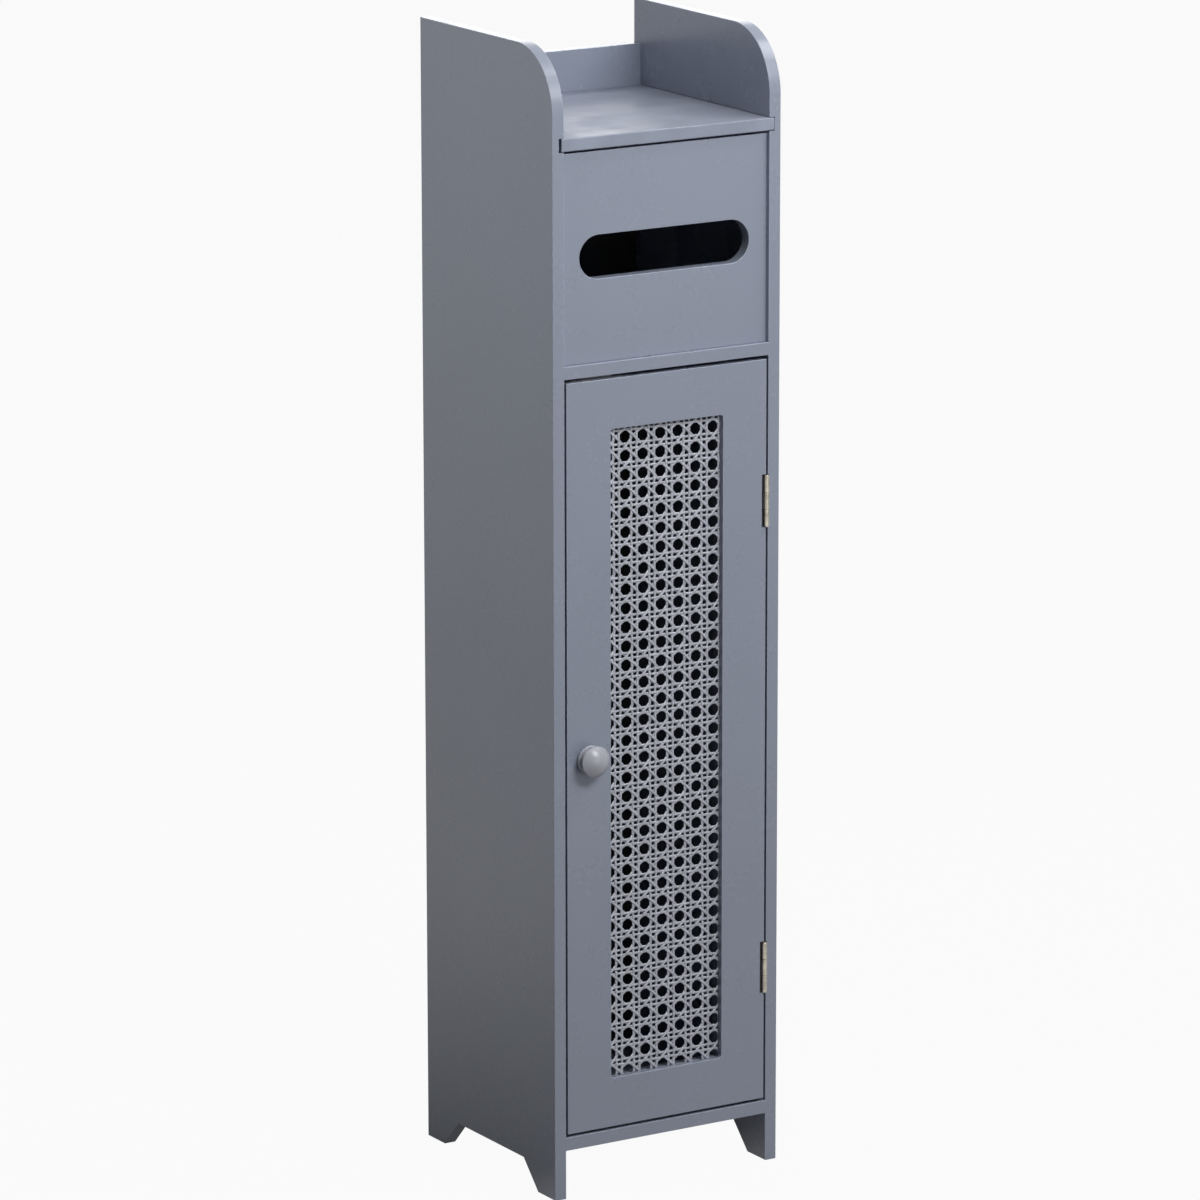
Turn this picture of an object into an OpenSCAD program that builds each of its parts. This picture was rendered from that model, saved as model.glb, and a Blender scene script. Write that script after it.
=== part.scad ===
// Toilet roll storage cabinet: a narrow painted tower on cut-out feet. A cane-fronted door hangs
// on two butt hinges, a slotted panel closes the compartment above it, and a loose lid slides
// forward in grooves to open that compartment from above.
// Millimetres, +Z up, front towards -Y. The origin is on the floor, midway across the width
// and midway between the knob's face and the back edge.

/* [Carcass] */
// Width over both side panels
body_w = 181; // [150:1:320]
// Depth of the side panels, front edge to back edge
body_d = 174; // [150:1:300]
// Height of the side panels
body_h = 800; // [700:1:1100]
// Thickness of the side panels
side_t = 9; // [8.5:0.5:18]
// Radius of the side panels' top front corner
corner_r = 45; // [10:1:58]
// Thickness of the divider shelf
divider_t = 9; // [8.5:0.5:18]
// Thickness of the bottom shelf
bottom_t = 9; // [8.5:0.5:18]
// Height of the bottom shelf's underside above the floor
bottom_z = 34.5; // [28:0.5:80]
// Clear height of the upper compartment, from the divider shelf to the lid
upper_h = 145.8; // [110:0.1:200]

/* [Feet] */
// Length of each foot where it stands on the floor
foot_l = 23; // [15:0.5:34]
// Run of the slanted edge from a foot up to the arch
foot_slope = 19.5; // [5:0.5:30]
// Height of the arch between the feet
arch_h = 20; // [8:0.5:26]

/* [Lid] */
// Thickness of the lid
lid_t = 9; // [6:0.5:15]
// Distance from the tops of the side panels down to the lid
lid_drop = 60.2; // [60:0.1:90]
// Depth of the groove that the lid slides in
groove_depth = 4; // [2:0.5:5.5]

/* [Back] */
// Thickness of the back rail
rail_t = 9; // [8.5:0.5:15]
// Height of the back rail's top edge above the lid
rail_rise = 29.2; // [10:0.2:50]
// Height of the back rail itself
rail_h = 50; // [30:1:80]
// Thickness of the back panel
back_t = 3; // [2.5:0.5:5]
// Width of the rebate in each side panel that takes the back panel
back_rebate = 5; // [3.5:0.5:6.5]

/* [Slotted front panel] */
// Thickness of the slotted front panel
front_t = 9; // [8.5:0.5:12]
// Distance that the slotted panel is set back from the front edges
front_recess = 3.5; // [0:0.5:12]
// Length of the slot from end to end
slot_l = 135; // [60:1:140]
// Height of the slot, rounded fully at both ends
slot_h = 30; // [12:1:50]

/* [Door] */
// Thickness of the door
door_t = 9; // [8.5:0.5:12]
// Width of the door frame round its window
door_frame = 35; // [32:0.5:45]
// Radius of the window's corners
window_r = 2; // [1:0.5:10]
// Thickness of the lip of the frame in front of the cane
lip_t = 4; // [3.5:0.5:6.5]
// Width of the rebate behind the lip
cane_rebate = 10; // [9:0.5:12]

/* [Cane] */
// Thickness of the woven cane sheet
cane_t = 2; // [1:0.1:2.2]
// Distance that the cane reaches behind the lip on each side
cane_margin = 5; // [3:0.5:6]
// Spacing of the open holes across the sheet
cane_pitch_x = 14.07; // [13:0.01:20]
// Spacing of the open holes up the sheet
cane_pitch_z = 13.17; // [12:0.01:20]
// Width of each open hole across its flats
cane_hole = 7.4; // [4:0.1:10]
// Distance that the pattern sits below the middle of the window
cane_drop = 3.5; // [0:0.1:6]
// Distance that the pattern sits to the left of the middle of the window
cane_shift = 1.6; // [0:0.1:3]
// Distance that the retaining beads stand behind the door
bead_stand = 4; // [2:0.5:6]

/* [Knob] */
// Height of the knob's middle above the middle of the door
knob_rise = 1.2; // [0:0.1:20]
// Radius of the knob's cap
knob_r = 10.9; // [9:0.1:14]
// Distance from the door to the face of the knob
knob_reach = 14.5; // [13:0.1:20]
// Distance from the door to the widest ring of the cap
knob_ring = 8; // [7.5:0.1:9.5]
// Radius of the knob's base
knob_base_r = 10; // [8:0.1:12]
// Thickness of the knob's base
knob_base_t = 2.6; // [2:0.1:4]
// Radius of the neck between base and cap
knob_neck_r = 6.6; // [5:0.1:7.8]

/* [Hinges] */
// Length of each hinge
hinge_l = 35.2; // [28:0.2:50]
// Radius of the hinge barrel
barrel_r = 1.8; // [1.6:0.05:2.2]
// Radius of the hinge pin
hinge_pin_r = 0.9; // [0.6:0.05:1]
// Distance of the pin's axis in front of the door
barrel_stand = 0.4; // [0.4:0.1:1.5]
// Distance of the pin's axis towards the door from the middle of the gap
pivot_shift = 0.6; // [0:0.1:0.8]
// Thickness of the hinge leaves
leaf_t = 0.9; // [0.7:0.1:1]
// Width of the hinge leaves, back from the face of the door
leaf_w = 8; // [7:0.5:8]
// Distance from the top of the door to the middle of the upper hinge
upper_hinge_inset = 98.9; // [40:0.1:150]
// Distance from the bottom of the door to the middle of the lower hinge
lower_hinge_inset = 95.4; // [40:0.1:150]
// Width of the notch in the door beside each barrel
hinge_notch = 1.8; // [0.5:0.1:2]
// Depth of that notch behind the face of the door
notch_depth = 3.4; // [2.8:0.1:3.5]

/* [Catch] */
// Width of the magnetic catch over its ears
catch_w = 42; // [38:1:50]
// Height of the catch below the divider shelf
catch_h = 11; // [9:0.5:14]
// Depth of the catch, front to back
catch_d = 14; // [12:0.5:20]
// Distance from the left edge of the door to the middle of the catch
catch_inset = 30; // [26:1:60]

/* [Fasteners] */
// Radius of the wooden dowels
dowel_r = 3; // [2:0.25:3.5]
// Depth that a dowel enters a side panel
dowel_in_side = 6; // [4:0.5:6.5]
// Depth that a dowel enters a shelf
dowel_in_shelf = 14; // [8:1:25]
// Distance of the shelf dowels from the front and back edges
dowel_edge = 34; // [25:1:50]
// Distance of the slotted panel's dowels from its top and bottom edges
front_dowel_edge = 24; // [12:1:35]
// Distance of the back rail's dowels from its top and bottom edges
rail_dowel_edge = 12; // [6:0.5:14]
// Radius of the small wood screws' shanks
screw_r = 1; // [0.8:0.1:1.2]
// Radius of the small wood screws' heads
screw_head_r = 1.9; // [1.6:0.1:2.2]
// Length of the small wood screws
screw_l = 7; // [5:0.5:7.5]
// Radius of the knob screw's shank
knob_screw_r = 2; // [1.5:0.25:2.5]
// Length of the knob screw inside the knob
knob_screw_in = 8; // [5:0.5:9]
// Length of the nails that hold the back panel
nail_l = 15; // [10:1:20]

/* [Clearances] */
// Gap between the door and a side panel
door_side_gap = 1.5; // [1.2:0.1:2.5]
// Gap above and below the door
door_end_gap = 2.6; // [1:0.1:3]
// Gap between the lid and the slotted panel below it
lid_front_gap = 2; // [0.5:0.1:4]
// Gap between each end of the lid and the bottom of its groove
lid_end_gap = 1.3; // [1.3:0.1:2]
// Distance that the loose lid lies to the right within those gaps
lid_shift = 1; // [0:0.1:1]
// Gap below the lid in its groove
lid_under_gap = 0.3; // [0.2:0.05:0.5]
// Gap above the lid in its groove
lid_over_gap = 0.4; // [0.3:0.05:1]
// Gap between the lid and the back rail
lid_back_gap = 0.5; // [0.3:0.1:2]
// Gap between the catch and its strike plate
catch_gap = 0.4; // [0.3:0.1:1]
// Radial gap round glued dowels, screws and pins
fit_gap = 0.05; // [0.02:0.01:0.08]
// Gap round pieces let into a rebate or mortise
seat_gap = 0.2; // [0.1:0.05:0.4]

/* [Hidden] */
$fn = 64;

cut = 1;                              // overrun of a cutting solid past a face
paint = [0.54, 0.565, 0.62];
cane_paint = [0.60, 0.62, 0.66];
dark_stain = [0.20, 0.21, 0.22];
bare_wood = [0.80, 0.68, 0.50];
nickel = [0.72, 0.69, 0.62];
steel = [0.60, 0.60, 0.62];
white_plastic = [0.90, 0.90, 0.88];
magnet_grey = [0.25, 0.25, 0.27];

// Positions below are measured from the front edges of the side panels
front_y = (knob_reach - body_d) / 2;
inner_x = body_w / 2 - side_t;

lid_top_z = body_h - lid_drop;
lid_z = lid_top_z - lid_t;
divider_top_z = lid_z - upper_h;
divider_z = divider_top_z - divider_t;
bottom_top_z = bottom_z + bottom_t;
shelf_d = body_d - back_t;

rail_y = body_d - rail_t;
rail_top_z = lid_top_z + rail_rise;
rail_z = rail_top_z - rail_h;

groove_z = lid_z - lid_under_gap;
groove_h = lid_t + lid_under_gap + lid_over_gap;
lid_w = 2 * (inner_x + groove_depth - lid_end_gap);
lid_d = rail_y - lid_back_gap;

front_h = upper_h - lid_front_gap;
front_mid_z = divider_top_z + front_h / 2;

door_z = bottom_top_z + door_end_gap;
door_top_z = divider_z - door_end_gap;
door_h = door_top_z - door_z;
door_x = inner_x - door_side_gap;     // half the door's width
window_w = 2 * (door_x - door_frame);
window_h = door_h - 2 * door_frame;
window_mid_z = (door_z + door_top_z) / 2;

cane_y = lip_t;
bead_y = cane_y + cane_t;
bead_back_y = door_t + bead_stand;
bead_set = 0.5;                       // the beads stay out of sight behind the lip
bead_pin_r = 0.5;
bead_pin_l = bead_back_y - lip_t / 2;
bead_pin_u = (cane_margin + cane_rebate) / 2;
bead_pins_long = 4;
bead_pins_short = 2;

knob_x = -door_x + door_frame / 2;
knob_z = window_mid_z + knob_rise;
knob_rim = 1.2;                       // rounding of the cap's edge
knob_screw_head_r = 2 * knob_screw_r;
knob_screw_head_h = 2.4;

pivot_x = inner_x - door_side_gap / 2 - pivot_shift;
frame_mortise = pivot_x + barrel_r - inner_x;
door_mortise = door_x - (pivot_x - barrel_r);
leaf_x = barrel_r - leaf_t;           // leaf's near face, out from the pin's axis
leaf_clear_y = barrel_r + 0.25;       // where a leaf passes behind the other's knuckles
leaf_back_y = barrel_stand + leaf_w;
knuckle_gap = 0.2;
knuckle_l = (hinge_l - 2 * knuckle_gap) / 3;
hinge_head_r = 0.8 * barrel_r;
hinge_head_h = 0.6;
barrel_clear = 0.3;                   // gap round a barrel in the board beside it
barrel_room = hinge_l + 2 * (hinge_head_h + barrel_clear);
screw_y = leaf_w * 0.6;               // screws of a leaf, back from the face of the door
screw_spread = hinge_l * 0.3;         // screws of a leaf, above and below its middle
screw_head_h = screw_head_r - screw_r;
upper_hinge_z = door_top_z - upper_hinge_inset;
lower_hinge_z = door_z + lower_hinge_inset;

strike_t = 1;
strike_w = 26;
strike_h = 11;
strike_drop = 0.6;                    // strike plate's top edge below the door's
catch_x = -door_x + catch_inset;
catch_y = door_t + strike_t + catch_gap;
ear_t = 2;
magnet_w = 18;
magnet_h = 6;
magnet_d = 5;
magnet_z = divider_z - ear_t - 1.2 - magnet_h;
catch_block_w = 24;
ear_screw_x = (catch_w + catch_block_w) / 4;

nail_r = 0.6;
nail_head_r = 1.5;
nail_head_h = 0.5;
nail_side_x = inner_x + back_rebate / 2;
nail_rows = 5;
back_w = 2 * (inner_x + back_rebate - seat_gap);
back_z = bottom_z;
back_top_z = rail_z;

shelf_dowel_y = [dowel_edge, body_d - dowel_edge];
bottom_dowels = [for (y = shelf_dowel_y) [y, bottom_z + bottom_t / 2]];
divider_dowels = [for (y = shelf_dowel_y) [y, divider_z + divider_t / 2]];
front_dowels = [for (s = [-1, 1])
    [front_recess + front_t / 2, front_mid_z + s * (front_h / 2 - front_dowel_edge)]];
rail_dowels = [for (s = [-1, 1])
    [rail_y + rail_t / 2, rail_z + rail_h / 2 + s * (rail_h / 2 - rail_dowel_edge)]];

module from_front() {
    translate([0, front_y, 0]) children();
}

// A cylinder along +Y from the children's place
module rod_y(r, l) {
    rotate([-90, 0, 0]) cylinder(h = l, r = r);
}

// Dowels at [y, z] points, at both ends of a board that fits between the side panels
module dowel_set(points, gap = 0) {
    for (p = points, s = [-1, 1])
        translate([s * inner_x, p[0], p[1]])
            rotate([0, s * 90, 0])
                translate([0, 0, -dowel_in_shelf - 5 * gap])
                    cylinder(h = dowel_in_shelf + dowel_in_side + 10 * gap, r = dowel_r + gap);
}

// Countersunk wood screw: its head's face at z = 0, its point downwards
module wood_screw() {
    difference() {
        union() {
            translate([0, 0, -screw_head_h])
                cylinder(h = screw_head_h, r1 = screw_r, r2 = screw_head_r);
            translate([0, 0, -screw_l]) cylinder(h = screw_l - screw_head_h / 2, r = screw_r);
        }
        for (a = [0, 90])
            rotate(a) translate([-screw_head_r * 0.6, -0.2, -0.5]) cube([screw_head_r * 1.2, 0.4, cut]);
    }
}

module wood_screw_hole() {
    translate([0, 0, -screw_head_h])
        cylinder(h = screw_head_h, r1 = screw_r + fit_gap, r2 = screw_head_r + fit_gap);
    translate([0, 0, -screw_l - 0.5]) cylinder(h = screw_l + 0.5, r = screw_r + fit_gap);
}

// ---- Carcass ----

module side_outline() {
    difference() {
        square([body_d, body_h]);
        difference() {
            translate([-cut, body_h - corner_r]) square([corner_r + cut, corner_r + cut]);
            translate([corner_r, body_h - corner_r]) circle(corner_r, $fn = 128);
        }
        polygon([[foot_l, 0], [foot_l + foot_slope, arch_h],
            [body_d - foot_l - foot_slope, arch_h], [body_d - foot_l, 0],
            [body_d - foot_l, -cut], [foot_l, -cut]]);
    }
}

// The right-hand side panel without its hinge mortises
module side_blank() {
    difference() {
        translate([inner_x, 0, 0]) rotate([90, 0, 90]) linear_extrude(side_t) side_outline();
        translate([inner_x - cut, -cut, groove_z]) cube([groove_depth + cut, rail_y + cut, groove_h]);
        translate([inner_x - cut, shelf_d, back_z])
            cube([back_rebate + cut, back_t + cut, back_top_z - back_z]);
        dowel_set(bottom_dowels, fit_gap);
        dowel_set(divider_dowels, fit_gap);
        dowel_set(front_dowels, fit_gap);
        dowel_set(rail_dowels, fit_gap);
        back_nail_set(fit_gap);
    }
}

module left_side_panel() {
    color(paint) from_front() mirror([1, 0, 0]) side_blank();
}

module right_side_panel() {
    color(paint) from_front() difference() {
        side_blank();
        for (z = [upper_hinge_z, lower_hinge_z]) {
            translate([inner_x - cut, -cut, z - hinge_l / 2 - seat_gap])
                cube([frame_mortise + cut, leaf_w + seat_gap + cut, hinge_l + 2 * seat_gap]);
            translate([inner_x - cut, -cut, z - barrel_room / 2])
                cube([frame_mortise + barrel_clear + cut, barrel_r + cut, barrel_room]);
            translate([pivot_x, 0, z]) leaf_screws() wood_screw_hole();
        }
    }
}

module bottom_shelf() {
    color(paint) from_front() difference() {
        translate([-inner_x, 0, bottom_z]) cube([2 * inner_x, shelf_d, bottom_t]);
        dowel_set(bottom_dowels, fit_gap);
        back_nail_set(fit_gap);
    }
}

module divider_shelf() {
    color(paint) from_front() difference() {
        translate([-inner_x, 0, divider_z]) cube([2 * inner_x, shelf_d, divider_t]);
        dowel_set(divider_dowels, fit_gap);
        back_nail_set(fit_gap);
        catch_screw_places() wood_screw_hole();
    }
}

module slotted_front_panel() {
    color(paint) from_front() difference() {
        translate([-inner_x, front_recess, divider_top_z]) cube([2 * inner_x, front_t, front_h]);
        translate([0, front_recess + front_t + cut, front_mid_z])
            rotate([90, 0, 0]) linear_extrude(front_t + 2 * cut) {
                square([slot_l - slot_h, slot_h], center = true);
                for (s = [-1, 1]) translate([s * (slot_l - slot_h) / 2, 0]) circle(slot_h / 2);
            }
        dowel_set(front_dowels, fit_gap);
    }
}

module back_rail() {
    color(paint) from_front() difference() {
        translate([-inner_x, rail_y, rail_z]) cube([2 * inner_x, rail_t, rail_h]);
        dowel_set(rail_dowels, fit_gap);
    }
}

module back_panel() {
    color(dark_stain) from_front() difference() {
        translate([-back_w / 2, shelf_d, back_z]) cube([back_w, back_t, back_top_z - back_z]);
        back_nail_set(fit_gap);
    }
}

// One nail along -Y from the back face
module nail(gap) {
    rotate([90, 0, 0]) {
        translate([0, 0, -cut * gap]) cylinder(h = nail_head_h + gap, r = nail_head_r + gap);
        cylinder(h = nail_l + 5 * gap, r = nail_r + gap);
    }
}

// Nails into the shelves' back edges and up both side panels' rebates
module back_nail_set(gap = 0) {
    for (z = [bottom_z + bottom_t / 2, divider_z + divider_t / 2], s = [-1, 1])
        translate([s * inner_x / 2, body_d, z]) nail(gap);
    for (i = [0:nail_rows - 1], s = [-1, 1])
        translate([s * nail_side_x, body_d,
            back_z + (back_top_z - back_z) * (i + 0.5) / nail_rows]) nail(gap);
}

module back_panel_nails() {
    color(steel) from_front() back_nail_set();
}

module sliding_lid() {
    color(paint) from_front()
        translate([lid_shift - lid_w / 2, 0, lid_z]) cube([lid_w, lid_d, lid_t]);
}

module bottom_shelf_dowels() {
    color(bare_wood) from_front() dowel_set(bottom_dowels);
}

module divider_shelf_dowels() {
    color(bare_wood) from_front() dowel_set(divider_dowels);
}

module front_panel_dowels() {
    color(bare_wood) from_front() dowel_set(front_dowels);
}

module back_rail_dowels() {
    color(bare_wood) from_front() dowel_set(rail_dowels);
}

// ---- Door ----

// A rectangle with round corners, about the origin
module round_rect(w, h, r) {
    square([w - 2 * r, h], center = true);
    square([w, h - 2 * r], center = true);
    for (x = [-1, 1], z = [-1, 1]) translate([x * (w / 2 - r), z * (h / 2 - r)]) circle(r);
}

module door_panel() {
    rebate_w = window_w + 2 * cane_rebate;
    rebate_h = window_h + 2 * cane_rebate;
    color(paint) from_front() difference() {
        translate([-door_x, 0, door_z]) cube([2 * door_x, door_t, door_h]);
        translate([0, door_t, window_mid_z]) rotate([90, 0, 0])
            translate([0, 0, -cut]) linear_extrude(door_t + 2 * cut)
                round_rect(window_w, window_h, window_r);
        translate([-rebate_w / 2, lip_t, window_mid_z - rebate_h / 2])
            cube([rebate_w, door_t - lip_t + cut, rebate_h]);
        bead_pin_set(fit_gap);
        for (z = [upper_hinge_z, lower_hinge_z]) {
            translate([door_x - door_mortise, -cut, z - hinge_l / 2 - seat_gap])
                cube([door_mortise + cut, leaf_w + seat_gap + cut, hinge_l + 2 * seat_gap]);
            translate([door_x - door_mortise - hinge_notch, -cut, z - barrel_room / 2])
                cube([door_mortise + hinge_notch + cut, notch_depth + cut, barrel_room]);
            translate([pivot_x, 0, z]) mirror([1, 0, 0]) leaf_screws() wood_screw_hole();
        }
        translate([knob_x, -cut, knob_z]) rod_y(knob_screw_r + fit_gap, door_t + 2 * cut);
        strike_screw_place() wood_screw_hole();
    }
}

module cane_panel() {
    sheet_w = window_w + 2 * cane_margin;
    sheet_h = window_h + 2 * cane_margin;
    columns = floor(window_w / 2 / cane_pitch_x);
    rows = floor((window_h / 2 - cane_hole / 2) / cane_pitch_z);
    color(cane_paint) from_front() translate([0, cane_y + cane_t, window_mid_z])
        rotate([90, 0, 0]) linear_extrude(cane_t) difference() {
            square([sheet_w, sheet_h], center = true);
            for (i = [-columns:columns], j = [-rows:rows])
                translate([i * cane_pitch_x - cane_shift, j * cane_pitch_z - cane_drop])
                    rotate(22.5) circle(cane_hole / 2 / cos(22.5), $fn = 8);
        }
}

// A bead's section: u runs out from the window's edge and v back from the front of the door.
// Its inner half presses on the cane and its outer half fills the rebate.
module bead_section() {
    step_u = cane_margin + seat_gap;
    polygon([[bead_set, bead_y], [step_u, bead_y], [step_u, lip_t],
        [cane_rebate - seat_gap, lip_t], [cane_rebate - seat_gap, bead_back_y],
        [bead_set, bead_back_y]]);
}

// A bead along X above the window's top edge
module bead_across() {
    half_w = window_w / 2 + cane_rebate - seat_gap;
    difference() {
        translate([-half_w, 0, window_mid_z + window_h / 2])
            rotate([90, 0, 90]) linear_extrude(2 * half_w)
                mirror([1, 0]) rotate(90) bead_section();
        bead_pin_set(fit_gap);
    }
}

// A bead up the window's right edge, between the two across beads
module bead_upright() {
    half_h = window_h / 2 + bead_set - seat_gap / 2;
    difference() {
        translate([window_w / 2, 0, window_mid_z - half_h])
            linear_extrude(2 * half_h) bead_section();
        bead_pin_set(fit_gap);
    }
}

module cane_bead_top() {
    color(paint) from_front() bead_across();
}

module cane_bead_bottom() {
    color(paint) from_front()
        translate([0, 0, 2 * window_mid_z]) mirror([0, 0, 1]) bead_across();
}

module cane_bead_right() {
    color(paint) from_front() bead_upright();
}

module cane_bead_left() {
    color(paint) from_front() mirror([1, 0, 0]) bead_upright();
}

// Headless pins through the outer half of the beads into the lip
module bead_pin_set(gap = 0) {
    pin_y = bead_back_y - bead_pin_l - 5 * gap;
    for (i = [0:bead_pins_short - 1], s = [-1, 1])
        translate([window_w * ((i + 0.5) / bead_pins_short - 0.5), pin_y,
            window_mid_z + s * (window_h / 2 + bead_pin_u)])
            rod_y(bead_pin_r + gap, bead_pin_l + 10 * gap);
    for (i = [0:bead_pins_long - 1], s = [-1, 1])
        translate([s * (window_w / 2 + bead_pin_u), pin_y,
            window_mid_z + window_h * ((i + 0.5) / bead_pins_long - 0.5)])
            rod_y(bead_pin_r + gap, bead_pin_l + 10 * gap);
}

module cane_bead_pins() {
    color(steel) from_front() bead_pin_set();
}

module door_knob() {
    dome_r0 = knob_r - knob_rim / 2;
    dome_z0 = knob_ring + knob_rim * 0.75;
    dome_h = knob_reach - dome_z0;
    dome_r = (dome_r0 * dome_r0 + dome_h * dome_h) / (2 * dome_h);
    color(paint) from_front() translate([knob_x, 0, knob_z]) rotate([90, 0, 0])
        difference() {
            rotate_extrude() {
                square([knob_base_r - knob_base_t / 2, knob_base_t]);
                translate([knob_base_r - knob_base_t / 2, knob_base_t / 2])
                    intersection() {
                        circle(knob_base_t / 2);
                        translate([0, -knob_base_t]) square(2 * knob_base_t);
                    }
                square([knob_neck_r, knob_ring]);
                translate([0, knob_ring - knob_rim]) square([knob_r - knob_rim, 2 * knob_rim]);
                translate([knob_r - knob_rim, knob_ring])
                    intersection() {
                        circle(knob_rim);
                        translate([0, -2 * knob_rim]) square(4 * knob_rim);
                    }
                intersection() {
                    translate([0, knob_reach - dome_r]) circle(dome_r, $fn = 256);
                    translate([0, dome_z0]) square([knob_r, dome_h]);
                }
            }
            translate([0, 0, -cut])
                cylinder(h = knob_screw_in + cut + 0.5, r = knob_screw_r + fit_gap);
        }
}

module knob_screw() {
    color(steel) from_front() translate([knob_x, door_t, knob_z]) difference() {
        union() {
            rod_y(knob_screw_head_r, knob_screw_head_h);
            translate([0, -door_t - knob_screw_in, 0]) rod_y(knob_screw_r, door_t + knob_screw_in);
        }
        for (a = [0, 90]) rotate([0, a, 0])
            translate([-knob_screw_head_r * 0.55, knob_screw_head_h - 1, -0.4])
                cube([knob_screw_head_r * 1.1, 1 + cut, 0.8]);
    }
}

// ---- Hinges ----

// Places for one leaf's screws, for a frame leaf: heads on the leaf's near face
module leaf_screws() {
    for (s = [-1, 1])
        translate([leaf_x, screw_y, s * screw_spread]) rotate([0, -90, 0]) children();
}

// A leaf about its hinge's middle. It carries the knuckles named in own, 0 at the bottom.
module leaf(own, bore_gap) {
    knuckle_z = [for (i = [0:2]) -hinge_l / 2 + i * (knuckle_l + knuckle_gap)];
    difference() {
        union() {
            translate([leaf_x, leaf_clear_y - barrel_stand, -hinge_l / 2])
                cube([leaf_t, leaf_back_y - leaf_clear_y, hinge_l]);
            for (i = own) {
                translate([leaf_x, -barrel_stand, knuckle_z[i]])
                    cube([leaf_t, leaf_clear_y + 0.1, knuckle_l]);
                translate([0, -barrel_stand, knuckle_z[i]]) cylinder(h = knuckle_l, r = barrel_r);
            }
        }
        translate([0, -barrel_stand, -hinge_l / 2 - cut])
            cylinder(h = hinge_l + 2 * cut, r = hinge_pin_r + bore_gap);
        leaf_screws() wood_screw_hole();
    }
}

module frame_leaf(z) {
    color(nickel) from_front() translate([pivot_x, 0, z]) leaf([0, 2], fit_gap / 2);
}

module door_leaf(z) {
    color(nickel) from_front() translate([pivot_x, 0, z]) mirror([1, 0, 0]) leaf([1], fit_gap);
}

module hinge_pin(z) {
    color(nickel) from_front() translate([pivot_x, -barrel_stand, z]) {
        translate([0, 0, -hinge_l / 2]) cylinder(h = hinge_l, r = hinge_pin_r);
        translate([0, 0, hinge_l / 2]) cylinder(h = hinge_head_h, r = hinge_head_r);
        translate([0, 0, -hinge_l / 2 - hinge_head_h]) cylinder(h = hinge_head_h, r = hinge_head_r);
    }
}

module hinge_frame_screws() {
    color(nickel) from_front() for (z = [upper_hinge_z, lower_hinge_z])
        translate([pivot_x, 0, z]) leaf_screws() wood_screw();
}

module hinge_door_screws() {
    color(nickel) from_front() for (z = [upper_hinge_z, lower_hinge_z])
        translate([pivot_x, 0, z]) mirror([1, 0, 0]) leaf_screws() wood_screw();
}

// ---- Catch ----

module catch_screw_places() {
    for (s = [-1, 1])
        translate([catch_x + s * ear_screw_x, catch_y + catch_d / 2, divider_z - ear_t])
            rotate([180, 0, 0]) children();
}

module strike_screw_place() {
    translate([catch_x, door_t + strike_t, door_top_z - strike_drop - strike_h / 2])
        rotate([-90, 0, 0]) children();
}

module catch_body() {
    color(white_plastic) from_front() difference() {
        union() {
            translate([catch_x - catch_w / 2, catch_y, divider_z - ear_t])
                cube([catch_w, catch_d, ear_t]);
            translate([catch_x - catch_block_w / 2, catch_y, divider_z - catch_h])
                cube([catch_block_w, catch_d, catch_h]);
        }
        translate([catch_x - magnet_w / 2 - fit_gap, catch_y - cut, magnet_z - fit_gap])
            cube([magnet_w + 2 * fit_gap, magnet_d + fit_gap + cut, magnet_h + 2 * fit_gap]);
        catch_screw_places() wood_screw_hole();
    }
}

module catch_magnet() {
    color(magnet_grey) from_front() translate([catch_x - magnet_w / 2, catch_y, magnet_z])
        cube([magnet_w, magnet_d, magnet_h]);
}

module catch_screws() {
    color(steel) from_front() catch_screw_places() wood_screw();
}

module strike_plate() {
    color(steel) from_front() difference() {
        translate([catch_x - strike_w / 2, door_t, door_top_z - strike_drop - strike_h])
            cube([strike_w, strike_t, strike_h]);
        strike_screw_place() wood_screw_hole();
    }
}

module strike_screw() {
    color(steel) from_front() strike_screw_place() wood_screw();
}

left_side_panel();
right_side_panel();
bottom_shelf();
divider_shelf();
slotted_front_panel();
back_rail();
back_panel();
back_panel_nails();
sliding_lid();
bottom_shelf_dowels();
divider_shelf_dowels();
front_panel_dowels();
back_rail_dowels();
door_panel();
cane_panel();
cane_bead_top();
cane_bead_bottom();
cane_bead_left();
cane_bead_right();
cane_bead_pins();
door_knob();
knob_screw();
frame_leaf(upper_hinge_z);  // upper_hinge_frame_leaf
door_leaf(upper_hinge_z);  // upper_hinge_door_leaf
hinge_pin(upper_hinge_z);  // upper_hinge_pin
frame_leaf(lower_hinge_z);  // lower_hinge_frame_leaf
door_leaf(lower_hinge_z);  // lower_hinge_door_leaf
hinge_pin(lower_hinge_z);  // lower_hinge_pin
hinge_frame_screws();
hinge_door_screws();
catch_body();
catch_magnet();
catch_screws();
strike_plate();
strike_screw();
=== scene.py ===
"""Looks of the toilet roll storage cabinet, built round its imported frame. Metres, +Z up."""

import math

import bmesh
import bpy
from mathutils import Matrix, Vector
from mathutils.geometry import tessellate_polygon

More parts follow.
